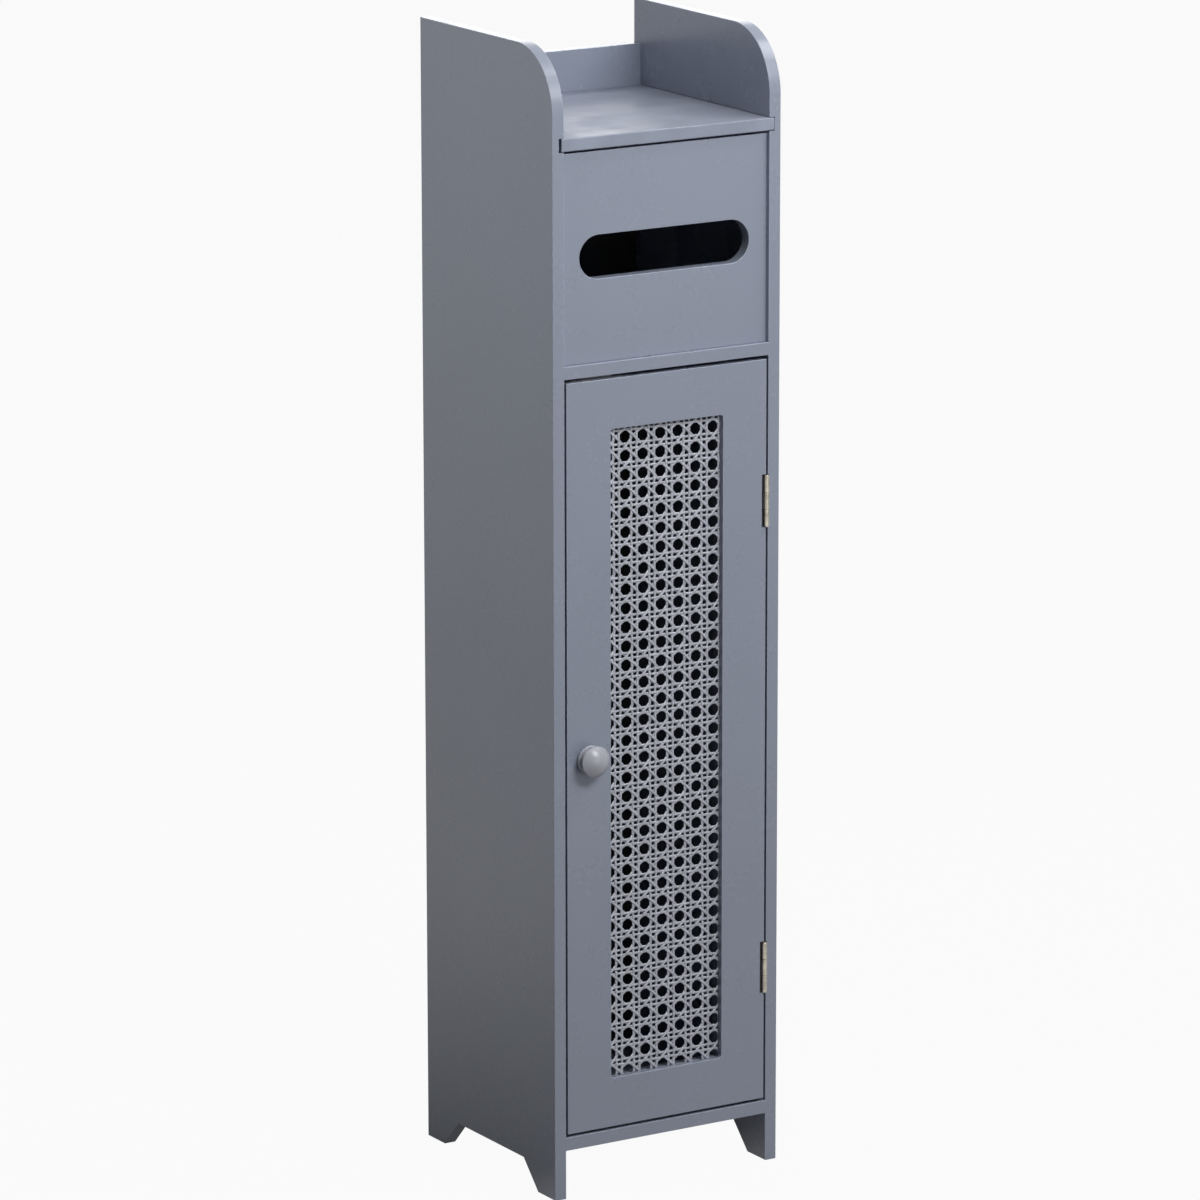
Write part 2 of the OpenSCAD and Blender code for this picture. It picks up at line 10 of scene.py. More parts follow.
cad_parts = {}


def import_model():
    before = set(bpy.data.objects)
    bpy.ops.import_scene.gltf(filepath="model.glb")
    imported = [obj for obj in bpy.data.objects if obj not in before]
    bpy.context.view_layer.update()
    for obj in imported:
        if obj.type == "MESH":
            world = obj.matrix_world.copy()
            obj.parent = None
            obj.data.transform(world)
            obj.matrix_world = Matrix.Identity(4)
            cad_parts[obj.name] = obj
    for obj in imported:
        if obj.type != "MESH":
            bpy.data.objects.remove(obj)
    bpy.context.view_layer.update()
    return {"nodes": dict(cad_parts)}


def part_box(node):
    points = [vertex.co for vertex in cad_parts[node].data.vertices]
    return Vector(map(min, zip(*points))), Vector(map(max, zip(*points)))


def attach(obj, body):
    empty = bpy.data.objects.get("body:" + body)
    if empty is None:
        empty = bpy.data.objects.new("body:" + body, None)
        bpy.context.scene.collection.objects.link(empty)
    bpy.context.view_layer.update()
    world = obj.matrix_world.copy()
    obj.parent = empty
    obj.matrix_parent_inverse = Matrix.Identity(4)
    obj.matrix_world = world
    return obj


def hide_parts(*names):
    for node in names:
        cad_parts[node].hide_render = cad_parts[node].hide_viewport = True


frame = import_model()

MM = 0.001


# ---- Sizes read from the frame ----

left_lo, left_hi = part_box("left_side_panel")
right_lo, right_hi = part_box("right_side_panel")
door_lo, door_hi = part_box("door_panel")
lid_lo, lid_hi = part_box("sliding_lid")
rail_lo, rail_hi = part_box("back_rail")
back_lo, back_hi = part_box("back_panel")
slotted_lo, slotted_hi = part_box("slotted_front_panel")
bead_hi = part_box("cane_bead_right")[1]
cane_lo, cane_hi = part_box("cane_panel")
knob_lo, knob_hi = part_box("door_knob")

FRONT_Y = left_lo.y
BACK_Y = left_hi.y
INNER_X = right_lo.x
SIDE_T = right_hi.x - right_lo.x
DOOR_MID_Z = (door_lo.z + door_hi.z) / 2

# Sizes of the joinery, as in the solids
CORNER_R = 45 * MM
FOOT_L = 23 * MM
FOOT_SLOPE = 19.5 * MM
ARCH_H = 20 * MM
LID_UNDER = 0.3 * MM
LID_OVER = 0.4 * MM
GROOVE_DEPTH = 4 * MM
DOOR_FRAME = 35 * MM
WINDOW_R = 2 * MM
LIP_T = 4 * MM
SLOT_L = 135 * MM
SLOT_H = 30 * MM
HINGE_NOTCH = 1.8 * MM
NOTCH_DEPTH = 3.4 * MM
BARREL_CLEAR = 0.3 * MM
SEAT_GAP = 0.2 * MM

# Sizes that only the looks have
ARRIS = 0.45 * MM                # rounding of the painted boards' edges
LID_ARRIS = 1.0 * MM
BEAD_ARRIS = 0.5 * MM
BACKING_ARRIS = 0.4 * MM
ARRIS_STEPS = 4
PAINT_BUILD = 0.5 * MM           # paint on the bottom shelf, which narrows the gap under the door
PIN_PROUD = 0.15 * MM            # how far the beads' pins stand out of them
CUT_OVER = 5 * MM                # how far a cut starts outside the piece
MITRE_LIMIT = 0.3                # bounds how far a sharp corner moves in an inset


# ---- Material helpers ----

def node_material(name):
    """A new node material: (material, nodes, links, shader)."""
    mat = bpy.data.materials.new(name)
    mat.use_nodes = True
    tree = mat.node_tree
    return mat, tree.nodes, tree.links, tree.nodes["Principled BSDF"]


def feed(links, value, socket):
    """Links a socket to the output in value, or sets it to the number or colour in value."""
    if hasattr(value, "links"):
        links.new(value, socket)
    elif isinstance(value, (int, float)):
        socket.default_value = value
    else:
        socket.default_value = (*value, 1)


def stretched(nodes, links, vector, scale):
    """A vector scaled along each axis."""
    node = nodes.new("ShaderNodeMapping")
    node.inputs["Scale"].default_value = scale
    links.new(vector, node.inputs["Vector"])
    return node.outputs["Vector"]


def object_coords(nodes, links, scale=(1, 1, 1)):
    """Object coordinates, in metres, scaled."""
    coords = nodes.new("ShaderNodeTexCoord")
    return stretched(nodes, links, coords.outputs["Object"], scale)


def uv_coords(nodes, layer):
    """Coordinates of one of a piece's UV layers, 0 where it has no such layer."""
    node = nodes.new("ShaderNodeUVMap")
    node.uv_map = layer
    return node.outputs["UV"]


def component(nodes, links, vector, axis):
    """The X, Y or Z of a vector."""
    node = nodes.new("ShaderNodeSeparateXYZ")
    links.new(vector, node.inputs[0])
    return node.outputs[axis]


def noise(nodes, links, vector, scale, detail=2.0, rough=0.5):
    """Soft noise from 0 to 1, mostly near 0.5, with scale waves per unit of vector."""
    node = nodes.new("ShaderNodeTexNoise")
    node.inputs["Scale"].default_value = scale
    node.inputs["Detail"].default_value = detail
    node.inputs["Roughness"].default_value = rough
    links.new(vector, node.inputs["Vector"])
    return node.outputs["Fac"]


def remap(nodes, links, value, source, target=(0, 1)):
    """Takes value from the range source to the range target, and stops at its ends."""
    node = nodes.new("ShaderNodeMapRange")
    for socket, limit in zip(("From Min", "From Max", "To Min", "To Max"), (*source, *target)):
        node.inputs[socket].default_value = limit
    links.new(value, node.inputs["Value"])
    return node.outputs["Result"]


def combine(nodes, links, operation, a, b, clamp=False):
    """Adds, multiplies or takes the larger of two outputs or numbers."""
    node = nodes.new("ShaderNodeMath")
    node.operation = operation
    node.use_clamp = clamp
    feed(links, a, node.inputs[0])
    feed(links, b, node.inputs[1])
    return node.outputs[0]


def mix_color(nodes, links, fac, a, b):
    """Mixes two colours by fac. The node has sockets of the same name for each type of data, so
    those for colours go by number."""
    node = nodes.new("ShaderNodeMix")
    node.data_type = "RGBA"
    feed(links, fac, node.inputs[0])
    feed(links, a, node.inputs[6])
    feed(links, b, node.inputs[7])
    return node.outputs[2]


def mix_shaders(nodes, links, fac, a, b):
    """Mixes two shaders by fac."""
    node = nodes.new("ShaderNodeMixShader")
    for value, socket in zip((fac, a, b), node.inputs):
        links.new(value, socket)
    return node.outputs[0]


def bump(nodes, links, height, strength, distance, normal=None):
    """A normal roughened by height, on top of another normal where there is one."""
    node = nodes.new("ShaderNodeBump")
    node.inputs["Strength"].default_value = strength
    node.inputs["Distance"].default_value = distance
    links.new(height, node.inputs["Height"])
    if normal is not None:
        links.new(normal, node.inputs["Normal"])
    return node.outputs["Normal"]


def srgb(r, g, b):
    """Linear colour of an 8-bit display colour."""
    def linear(c):
        c = c / 255
        return c / 12.92 if c <= 0.04045 else ((c + 0.055) / 1.055) ** 2.4
    return linear(r), linear(g), linear(b)


def shade(colour, factor):
    """A colour made darker, or lighter up to white."""
    return tuple(min(1.0, c * factor) for c in colour)


# ---- Materials ----

def paint_material(name, base, roughness=0.27, clouds=0.02, streak_and_sheen_share=0.0):
    """Sprayed satin paint on board: slow drift of its tone and sheen, fine stipple, and a painted
    highlight: the rounded edges are painted lighter. clouds is how far its roughness drifts; the
    last argument is how much paler its streaks are, which are partly brushed paint and partly a
    painted reflection."""
    mat, nodes, links, shader = node_material(name)
    where = object_coords(nodes, links)
    drift = noise(nodes, links, where, 7.0, detail=3.0)
    speck = noise(nodes, links, where, 260.0, detail=4.0, rough=0.6)
    pale = shade(base, 1.25)
    colour = mix_color(nodes, links, remap(nodes, links, drift, (0.3, 0.7)),
                       shade(base, 0.965), shade(base, 1.035))
    colour = mix_color(nodes, links, remap(nodes, links, speck, (0.45, 0.75), (0, 0.015)),
                       colour, pale)
    # Paler streaks: partly brushed paint, partly a painted reflection
    if streak_and_sheen_share:
        streak_and_sheen = noise(nodes, links, object_coords(nodes, links, (1, 2.2, 1)), 24.0,
                      detail=4.0, rough=0.55)
        colour = mix_color(nodes, links, remap(nodes, links, streak_and_sheen, (0.46, 0.66), (0, streak_and_sheen_share)),
                           colour, pale)
    # Painted highlight: the rounded edges are painted lighter
    edge_highlight = component(nodes, links, uv_coords(nodes, "arris"), "X")
    colour = mix_color(nodes, links, edge_highlight, colour, shade(base, 1.5))
    links.new(colour, shader.inputs["Base Color"])
    sheen = remap(nodes, links, noise(nodes, links, where, 22.0, detail=3.0), (0.35, 0.65),
                  (roughness - clouds, roughness + clouds))
    fine = remap(nodes, links, speck, (0.3, 0.7), (-0.006, 0.008))
    links.new(combine(nodes, links, "ADD", sheen, fine), shader.inputs["Roughness"])
    wavy = bump(nodes, links, noise(nodes, links, where, 60.0), 0.15, 0.4 * MM)
    stippled = bump(nodes, links, noise(nodes, links, where, 950.0), 0.18, 0.12 * MM, wavy)
    links.new(stippled, shader.inputs["Normal"])
    return mat


def cane_material():
    """Painted cane: fine fibres along each strand and thin spots in the paint."""
    mat, nodes, links, shader = node_material("painted_cane")
    along = stretched(nodes, links, uv_coords(nodes, "strand"), (60.0, 5.0, 1))
    fibres = noise(nodes, links, along, 3.0, detail=4.0, rough=0.6)
    patches = noise(nodes, links, object_coords(nodes, links), 180.0, detail=3.0)
    base = srgb(170, 173, 184)
    colour = mix_color(nodes, links, remap(nodes, links, fibres, (0.3, 0.7)),
                       shade(base, 0.66), shade(base, 1.25))
    colour = mix_color(nodes, links, remap(nodes, links, patches, (0.4, 0.7), (0, 0.5)),
                       colour, shade(base, 1.3))
    links.new(colour, shader.inputs["Base Color"])
    links.new(remap(nodes, links, fibres, (0, 1), (0.17, 0.34)), shader.inputs["Roughness"])
    shader.inputs["Specular IOR Level"].default_value = 1.0
    links.new(bump(nodes, links, fibres, 0.7, 0.2 * MM), shader.inputs["Normal"])
    return mat


def metal_material(name, base, roughness, brushed=(1, 1, 40), shade_from_y=None):
    """Plated metal with a fine brushed grain and faint stains. The last argument, where given, is a
    depth in y behind which the plating is painted dark: painted shade in the hinges' recesses."""
    mat, nodes, links, shader = node_material(name)
    grain = noise(nodes, links, object_coords(nodes, links, brushed), 900.0, detail=3.0)
    stain = noise(nodes, links, object_coords(nodes, links), 300.0)
    colour = mix_color(nodes, links, remap(nodes, links, stain, (0.35, 0.65)),
                       shade(base, 0.62), base)
    # Painted shade: the plating behind that depth is painted dark
    if shade_from_y is not None:
        depth = component(nodes, links, object_coords(nodes, links), "Y")
        deep = remap(nodes, links, depth, (shade_from_y, shade_from_y + 0.5 * MM))
        colour = mix_color(nodes, links, deep, colour, shade(base, 0.3))
    links.new(colour, shader.inputs["Base Color"])
    shader.inputs["Metallic"].default_value = 1.0
    links.new(remap(nodes, links, grain, (0.3, 0.7), (roughness - 0.08, roughness + 0.1)),
              shader.inputs["Roughness"])
    links.new(bump(nodes, links, grain, 0.15, 0.05 * MM), shader.inputs["Normal"])
    return mat


def wood_material():
    """Bare beech dowel: grain along the dowel with small dark flecks."""
    mat, nodes, links, shader = node_material("bare_beech")
    rings = noise(nodes, links, object_coords(nodes, links, (1, 12, 12)), 120.0,
                  detail=4.0, rough=0.6)
    colour = mix_color(nodes, links, remap(nodes, links, rings, (0.3, 0.7)),
                       srgb(196, 160, 112), srgb(222, 192, 146))
    links.new(colour, shader.inputs["Base Color"])
    shader.inputs["Roughness"].default_value = 0.7
    links.new(bump(nodes, links, rings, 0.3, 0.2 * MM), shader.inputs["Normal"])
    return mat


def plastic_material(name, base, roughness):
    """Moulded plastic or ferrite with a fine matt texture."""
    mat, nodes, links, shader = node_material(name)
    where = object_coords(nodes, links)
    tone = noise(nodes, links, where, 90.0, detail=3.0)
    colour = mix_color(nodes, links, remap(nodes, links, tone, (0.3, 0.7)),
                       shade(base, 0.93), base)
    links.new(colour, shader.inputs["Base Color"])
    shader.inputs["Roughness"].default_value = roughness
    links.new(bump(nodes, links, noise(nodes, links, where, 1500.0), 0.2, 0.08 * MM),
              shader.inputs["Normal"])
    return mat


PAINT = srgb(139, 146, 162)
paint = paint_material("satin_paint", PAINT)
# The lid's paint is the boards' paint made darker: painted shade on its lit top
shaded_lid_paint = paint_material("satin_paint_lid", shade(PAINT, 0.92), roughness=0.5, clouds=0.14,
                           streak_and_sheen_share=0.6)
# The backing is painted dark: painted shade for the dim inside seen through the cane and the slot
shade_dark_backing = paint_material("backing_painted_dark_for_shade", srgb(52, 53, 57), roughness=0.6)
paint_knob = paint_material("satin_paint_knob", srgb(166, 169, 178), roughness=0.28)
cane_paint = cane_material()
# The hinge metal is painted dark behind the front: painted shade in the hinges' recesses
nickel = metal_material("satin_nickel", srgb(184, 178, 164), 0.36, shade_from_y=FRONT_Y + 0.7 * MM)
zinc = metal_material("zinc_plate", srgb(176, 178, 184), 0.34, (40, 40, 1))
beech = wood_material()
catch_white = plastic_material("moulded_plastic", srgb(228, 228, 222), 0.5)
ferrite = plastic_material("ferrite", srgb(58, 58, 62), 0.6)


# ---- Mesh helpers ----

def arc(centre, radius, start, end, steps):
    """Points on an arc, angles in degrees."""
    points = []
    for i in range(steps + 1):
        a = math.radians(start + (end - start) * i / steps)
        points.append((centre[0] + radius * math.cos(a), centre[1] + radius * math.sin(a)))
    return points


def inset(loop, distance):
    """A closed loop moved inwards, to the left of its direction of travel."""
    moved = []
    for i, here in enumerate(loop):
        before = Vector(loop[i - 1])
        p = Vector(here)
        after = Vector(loop[(i + 1) % len(loop)])
        n1 = (p - before).normalized().orthogonal()
        n2 = (after - p).normalized().orthogonal()
        mid = (n1 + n2).normalized()
        moved.append(tuple(p + mid * distance / max(MITRE_LIMIT, mid.dot(n1))))
    return moved


def rounded_slab(loops, thickness, radius, place, edge_highlight_shares=(1, 1)):
    """A board from an outline, anticlockwise, and holes, clockwise, with its arrises rounded.
    place turns (u, v, w) into a point of the frame; w runs through the thickness from 0.
    The arrises carry a painted highlight: they are painted lighter at w = 0 and at w = thickness, by
    the two shares given last."""
    profile = []
    for i in range(ARRIS_STEPS + 1):
        a = math.pi / 2 * i / ARRIS_STEPS
        profile.append((radius * (1 - math.sin(a)), radius * (1 - math.cos(a))))
    profile += [(d, thickness - w) for d, w in reversed(profile)]
    # Share of the painted highlight round each arris, strongest midway round it
    edge_highlight = [math.sin(math.pi * i / ARRIS_STEPS) for i in range(ARRIS_STEPS + 1)]
    edge_highlight = [edge_highlight_shares[0] * r for r in edge_highlight] + [edge_highlight_shares[1] * r for r in edge_highlight]
    bm = bmesh.new()
    arris = bm.loops.layers.uv.new("arris")
    rings = []
    for loop in loops:
        loop_rings = []
        for depth, w in profile:
            ring = inset(loop, depth) if depth > 1e-9 else loop
            loop_rings.append([bm.verts.new(place(u, v, w)) for u, v in ring])
        for k, (a, b) in enumerate(zip(loop_rings, loop_rings[1:])):
            for i in range(len(a)):
                j = (i + 1) % len(a)
                face = bm.faces.new((a[i], a[j], b[j], b[i]))
                for corner, share in zip(face.loops, (k, k, k + 1, k + 1)):
                    corner[arris].uv = (edge_highlight[share], 0)
        rings.append(loop_rings)
    for end in (0, -1):
        verts = [v for loop_rings in rings for v in loop_rings[end]]
        depth = profile[end][0]
        flat = [[Vector((u, v, 0)) for u, v in inset(loop, depth)] for loop in loops]
        for tri in tessellate_polygon(flat):
            corners = [verts[i] for i in tri]
            if len(set(corners)) == 3:
                bm.faces.new(corners)
    bmesh.ops.recalc_face_normals(bm, faces=bm.faces)
    return bm


def make_object(name, bm, material):
    """An object of one material from a bmesh, which it uses up."""
    mesh = bpy.data.meshes.new(name)
    bm.to_mesh(mesh)
    bm.free()
    obj = bpy.data.objects.new(name, mesh)
    bpy.context.scene.collection.objects.link(obj)
    mesh.materials.append(material)
    return obj


def apply_modifiers(obj):
    """Replaces an object's mesh by the one that its modifiers make."""
    depsgraph = bpy.context.evaluated_depsgraph_get()
    depsgraph.update()
    mesh = bpy.data.meshes.new_from_object(obj.evaluated_get(depsgraph))
    obj.modifiers.clear()
    old = obj.data
    obj.data = mesh
    bpy.data.meshes.remove(old)


def box_mesh(lo, hi):
    """A plain box, used only to cut other pieces."""
    bm = bmesh.new()
    bmesh.ops.create_cube(bm, size=1)
    for v in bm.verts:
        v.co = Vector(low + (c + 0.5) * (high - low) for low, c, high in zip(lo, v.co, hi))
    return bm


def cut_boxes(obj, boxes):
    """Cuts boxes out of a piece."""
    for lo, hi in boxes:
        cutter = make_object("cutter", box_mesh(lo, hi), paint)
        mod = obj.modifiers.new("cut", "BOOLEAN")
        mod.operation = "DIFFERENCE"
        mod.solver = "EXACT"
        mod.object = cutter
        apply_modifiers(obj)
        bpy.data.objects.remove(cutter)


def weight_normals(obj, keep_sharp):
    """Turns the smooth normals towards the large faces, so that these look flat."""
    mod = obj.modifiers.new("flat_faces", "WEIGHTED_NORMAL")
    mod.keep_sharp = keep_sharp
    mod.weight = 80


def smooth(obj, angle=35):
    """Smooth shading that keeps flat faces flat and sharp edges sharp."""
    mesh = obj.data
    bm = bmesh.new()
    bm.from_mesh(mesh)
    for f in bm.faces:
        f.smooth = True
    for e in bm.edges:
        e.smooth = len(e.link_faces) == 2 and e.calc_face_angle(0) < math.radians(angle)
    bm.to_mesh(mesh)
    bm.free()
    weight_normals(obj, True)


def dress(obj, body, node):
    """A piece rides on its body and stands in for its node, which it hides."""
    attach(obj, body)
    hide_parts(node)


# ---- Boards ----

def board(name, lo, hi, radius=ARRIS, material=paint, edge_highlight_shares=(1, 1)):
    """A rectangular board between two corners, with its arrises rounded."""
    size = hi - lo
    thin = min(range(3), key=lambda i: size[i])
    u_axis, v_axis = [i for i in range(3) if i != thin]
    loop = [(lo[u_axis], lo[v_axis]), (hi[u_axis], lo[v_axis]),
            (hi[u_axis], hi[v_axis]), (lo[u_axis], hi[v_axis])]

    def place(u, v, w):
        p = [0, 0, 0]
        p[u_axis], p[v_axis], p[thin] = u, v, lo[thin] + w
        return p

    obj = make_object(name, rounded_slab([loop], size[thin], radius, place, edge_highlight_shares), material)
    smooth(obj)
    return obj


def shelf(name, node, paint_top=0.0):
    """A shelf whose ends run on into the side panels, under the paint that closes the joint.
    paint_top is the build-up of paint on its upper face."""
    lo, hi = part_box(node)
    housed = Vector((ARRIS, 0, 0))
    return board(name, lo - housed, hi + housed + Vector((0, 0, paint_top)))


def retaining_bead(name, node):
    """A bead behind the cane; its pins end a little proud of it."""
    lo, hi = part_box(node)
    return board(name, Vector((lo.x, cane_hi.y, lo.z)), Vector((hi.x, hi.y - PIN_PROUD, hi.z)),
                 BEAD_ARRIS)


def front_cut(x0, x1, node, gap, back_y):
    """A box to cut from in front of the cabinet back to back_y, a gap above and below a node."""
    lo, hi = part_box(node)
    return (x0, FRONT_Y - CUT_OVER, lo.z - gap), (x1, back_y, hi.z + gap)


def side_outline():
    """Side panel in (depth, height): y from the front and z."""
    depth = BACK_Y - FRONT_Y
    height = left_hi.z
    loop = [(0, 0), (FOOT_L, 0), (FOOT_L + FOOT_SLOPE, ARCH_H),
            (depth - FOOT_L - FOOT_SLOPE, ARCH_H), (depth - FOOT_L, 0), (depth, 0),
            (depth, height)]
    return loop + arc((CORNER_R, height - CORNER_R), CORNER_R, 90, 180, 24)


def side_panel(name, side):
    """side is -1 for the left panel and 1 for the right one, which has the hinges' seats."""
    inner = side * INNER_X
    bm = rounded_slab([side_outline()], SIDE_T, ARRIS,
                      lambda u, v, w: (inner + side * w, FRONT_Y + u, v), (1, 0.3))
    obj = make_object(name, bm, paint)

    def span(reach):
        """x from outside the inner face to reach into the panel."""
        return sorted((inner - side * CUT_OVER, inner + side * reach))

    x0, x1 = span(GROOVE_DEPTH)
    cuts = [((x0, FRONT_Y - CUT_OVER, lid_lo.z - LID_UNDER), (x1, rail_lo.y, lid_hi.z + LID_OVER))]
    x0, x1 = span(back_hi.x - INNER_X + SEAT_GAP)
    cuts.append(((x0, back_lo.y, back_lo.z), (x1, BACK_Y + CUT_OVER, back_hi.z)))
    if side > 0:
        for which in ("upper", "lower"):
            leaf = which + "_hinge_frame_leaf"
            leaf_lo, leaf_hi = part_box(leaf)
            x0, x1 = span(leaf_hi.x - INNER_X)
            barrel_r = (leaf_hi.x - leaf_lo.x) / 2
            cuts.append(front_cut(x0, x1, leaf, SEAT_GAP, leaf_hi.y + SEAT_GAP))
            cuts.append(front_cut(x0, x1 + BARREL_CLEAR, which + "_hinge_pin", BARREL_CLEAR,
                                  FRONT_Y + barrel_r))
    cut_boxes(obj, cuts)
    smooth(obj)
    return obj


def slotted_panel():
    """The panel with the rounded slot; its ends run on into the side panels."""
    half = (SLOT_L - SLOT_H) / 2
    r = SLOT_H / 2
    mid_z = (slotted_lo.z + slotted_hi.z) / 2
    x = slotted_hi.x + 2 * ARRIS
    outer = [(-x, slotted_lo.z), (x, slotted_lo.z), (x, slotted_hi.z), (-x, slotted_hi.z)]
    hole = arc((half, mid_z), r, 90, -90, 20) + arc((-half, mid_z), r, 270, 90, 20)
    bm = rounded_slab([outer, hole], slotted_hi.y - slotted_lo.y, ARRIS,
                      lambda u, v, w: (u, slotted_lo.y + w, v))
    obj = make_object("slotted_front", bm, paint)
    smooth(obj)
    return obj


def window_loop():
    """The door's window, clockwise, with round corners."""
    x = door_hi.x - DOOR_FRAME
    z = (door_hi.z - door_lo.z) / 2 - DOOR_FRAME
    loop = []
    for cx, cz, a in ((x, z, 90), (x, -z, 0), (-x, -z, -90), (-x, z, -180)):
        centre = (cx - math.copysign(WINDOW_R, cx), DOOR_MID_Z + cz - math.copysign(WINDOW_R, cz))
        loop += arc(centre, WINDOW_R, a, a - 90, 6)
    return loop


def door_frame():
    """The door's frame, with the window, the cane's rebate and the hinges' seats."""
    outer = [(door_lo.x, door_lo.z), (door_hi.x, door_lo.z),
             (door_hi.x, door_hi.z), (door_lo.x, door_hi.z)]
    bm = rounded_slab([outer, window_loop()], door_hi.y - door_lo.y, ARRIS,
                      lambda u, v, w: (u, door_lo.y + w, v))
    obj = make_object("door_frame", bm, paint)
    rebate_x = bead_hi.x + SEAT_GAP
    rebate_lo_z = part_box("cane_bead_bottom")[0].z - SEAT_GAP
    rebate_hi_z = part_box("cane_bead_top")[1].z + SEAT_GAP
    cuts = [((-rebate_x, door_lo.y + LIP_T, rebate_lo_z),
             (rebate_x, door_hi.y + CUT_OVER, rebate_hi_z))]
    outside_x = door_hi.x + CUT_OVER
    for which in ("upper", "lower"):
        leaf = which + "_hinge_door_leaf"
        leaf_lo, leaf_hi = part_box(leaf)
        cuts.append(front_cut(leaf_lo.x, outside_x, leaf, SEAT_GAP, leaf_hi.y + SEAT_GAP))
        cuts.append(front_cut(leaf_lo.x - HINGE_NOTCH, outside_x, which + "_hinge_pin",
                              BARREL_CLEAR, FRONT_Y + NOTCH_DEPTH))
    cut_boxes(obj, cuts)
    smooth(obj)
    return obj


dress(side_panel("side_left", -1), "cabinet", "left_side_panel")
dress(side_panel("side_right", 1), "cabinet", "right_side_panel")
dress(shelf("bottom_board", "bottom_shelf", PAINT_BUILD),
      "cabinet", "bottom_shelf")
dress(shelf("divider_board", "divider_shelf"), "cabinet", "divider_shelf")
dress(board("rail_board", rail_lo, rail_hi), "cabinet", "back_rail")
dress(board("backing_board", back_lo, back_hi, BACKING_ARRIS, shade_dark_backing),
      "cabinet", "back_panel")
dress(slotted_panel(), "cabinet", "slotted_front_panel")
dress(door_frame(), "door", "door_panel")
for edge in ("top", "bottom", "left", "right"):
    bead_node = "cane_bead_" + edge
    dress(retaining_bead("bead_" + edge, bead_node), "door", bead_node)
# The lid's edges take only a faint painted highlight
dress(board("lid_board", lid_lo, lid_hi, LID_ARRIS, shaded_lid_paint, edge_highlight_shares=(0.3, 0.05)),
      "lid", "sliding_lid")


# ---- Cane ----

PITCH_X = 14.07 * MM
PITCH_Z = 13.17 * MM
PATTERN_DROP = 3.5 * MM
PATTERN_SHIFT = -1.6 * MM
UPRIGHT_W = 1.92 * MM
UPRIGHT_HALF = 2.2 * MM          # from the middle of a pair of uprights to each of them
CROSS_W = 1.82 * MM
CROSS_HALF = 1.77 * MM           # from the middle of a pair of crosspieces to each of them
DIAGONAL_W = 1.9 * MM
STRAND_T = 0.8 * MM
WEAVE = 0.31 * MM                # how far a straight strand rises and falls
WEAVE_REACH = 2.2                # where it lies flat again, in halves of the crossed pair
DIAGONAL_RISE = 0.68 * MM        # how far a diagonal strand rises and falls
STRAND_STEP = 1.15 * MM          # spacing of the points along a strand
STRAND_END = 1.5 * MM            # from the sheet's edge to the ends of the strands
SHEET_MARGIN = 1.1 * MM          # from the sheet's edge to the outermost points
SHORTEST = 4 * MM                # shorter pieces of diagonal are left out

# Section of a strand, in shares of its width and thickness: crowned in front
STRAND_SECTION = ((-0.5, -0.05), (-0.41, 0.26), (-0.22, 0.45), (0, 0.5), (0.22, 0.45),
                  (0.41, 0.26), (0.5, -0.05), (0.3, -0.5), (-0.3, -0.5))

# How far, in mm, the hand-stretched sheet lies off the even pattern: by powers of the height
# from -1 to 1, by the place across, and by each strand's own wander
DRIFT_X = (0.1, -1.3)
DRIFT_Z = (-1.3, 0, 4.2, 0, -2.5)
TILT_Z = -2.6
WANDER = 0.1

cane_mid_y = (cane_lo.y + cane_hi.y) / 2
cane_cx = (cane_lo.x + cane_hi.x) / 2 + PATTERN_SHIFT
cane_cz = (cane_lo.z + cane_hi.z) / 2 - PATTERN_DROP
cane_half_z = (cane_hi.z - cane_lo.z) / 2


def strand_mesh(bm, uv_layer, points, width, seed):
    """A crowned ribbon along points that faces -Y, with the uneven width of split cane."""
    rings = []
    length = 0.0
    for i, p in enumerate(points):
        before = points[max(0, i - 1)]
        after = points[min(len(points) - 1, i + 1)]
        along = (after - before).normalized()
        across = along.cross(Vector((0, -1, 0))).normalized()
        out = across.cross(along)
        if i:
            length += (p - points[i - 1]).length
        wobble = 1 + 0.07 * math.sin(length * 260 + seed * 1.7) + 0.04 * math.sin(length * 610 + seed)
        ring = [bm.verts.new(p + across * (u * width * wobble) + out * (v * STRAND_T))
                for u, v in STRAND_SECTION]
        rings.append((ring, length))
    count = len(STRAND_SECTION)
    for (a, a_length), (b, b_length) in zip(rings, rings[1:]):
        for i in range(count):
            j = (i + 1) % count
            face = bm.faces.new((a[i], a[j], b[j], b[i]))
            face.smooth = True
            u0, u1 = i / count + seed, (i + 1) / count + seed
            corners = ((u0, a_length), (u1, a_length), (u1, b_length), (u0, b_length))
            for loop, (u, v) in zip(face.loops, corners):
                loop[uv_layer].uv = (u, v / width)
    bm.faces.new(rings[0][0])
    bm.faces.new(tuple(reversed(rings[-1][0])))


def warp(x, z, seed):
    """Where the even pattern's point (x, z) lies in the hand-stretched sheet."""
    t = (z - cane_cz) / cane_half_z
    u = (x - cane_cx) / cane_half_z
    dx = sum(c * t ** k for k, c in enumerate(DRIFT_X))
    dz = sum(c * t ** k for k, c in enumerate(DRIFT_Z)) + TILT_Z * u
    dx += WANDER * math.sin(z / MM * 0.21 + seed * 2.3)
    dz += WANDER * math.sin(x / MM * 0.33 + seed * 1.9)
    return x + dx * MM, z + dz * MM


